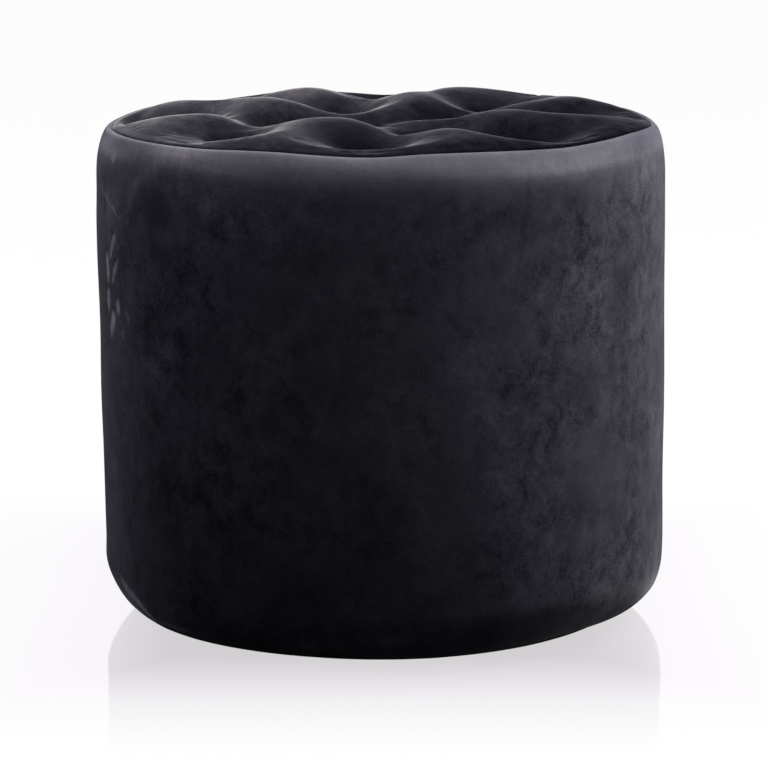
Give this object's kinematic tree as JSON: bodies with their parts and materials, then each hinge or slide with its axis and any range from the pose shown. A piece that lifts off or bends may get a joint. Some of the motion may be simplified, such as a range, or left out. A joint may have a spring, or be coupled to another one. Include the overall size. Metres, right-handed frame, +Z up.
{
  "type": "pouf",
  "caption": "Round velvet pouf: a padded drum with a button-tufted seat, a sewn rim seam, a rounded lower edge and low glides.",
  "frame": {"origin": "on the floor, under the middle of the pouf", "axes": "+Z up through the middle of the seat; the front of the picture is towards -Y and its right towards +X"},
  "size_m": [0.46, 0.46, 0.4149],
  "materials": {
    "velvet": "near-black cut-pile velvet",
    "dust_cloth": "black non-woven cloth",
    "foam": "cut upholstery foam",
    "plywood": "raw birch plywood",
    "hardboard": "raw brown hardboard",
    "pine": "planed pine",
    "steel": "zinc plated",
    "twine": "waxed twine",
    "glide_plastic": "moulded black plastic"
  },
  "bodies": {
    "root": {"seat_cover": "velvet", "side_cover": "velvet", "dust_cover": "dust_cloth", "seat_foam": "foam", "side_foam": "foam", "seat_board": "plywood", "base_board": "plywood", "drum_wall": "hardboard", "post_1": "pine", "post_2": "pine", "post_3": "pine", "post_4": "pine", "post_5": "pine", "post_6": "pine", "seat_screw_1": "steel", "seat_screw_2": "steel", "seat_screw_3": "steel", "seat_screw_4": "steel", "seat_screw_5": "steel", "seat_screw_6": "steel", "base_screw_1": "steel", "base_screw_2": "steel", "base_screw_3": "steel", "base_screw_4": "steel", "base_screw_5": "steel", "base_screw_6": "steel", "glide_1": "glide_plastic", "glide_2": "glide_plastic", "glide_3": "glide_plastic", "glide_4": "glide_plastic", "glide_5": "glide_plastic", "glide_6": "glide_plastic", "button_01": "velvet", "button_02": "velvet", "button_03": "velvet", "button_04": "velvet", "button_05": "velvet", "button_06": "velvet", "button_07": "velvet", "button_08": "velvet", "button_09": "velvet", "button_10": "velvet", "button_11": "velvet", "button_12": "velvet", "button_13": "velvet", "tie_01": "twine", "tie_02": "twine", "tie_03": "twine", "tie_04": "twine", "tie_05": "twine", "tie_06": "twine", "tie_07": "twine", "tie_08": "twine", "tie_09": "twine", "tie_10": "twine", "tie_11": "twine", "tie_12": "twine", "tie_13": "twine"}
  },
  "joints": []
}
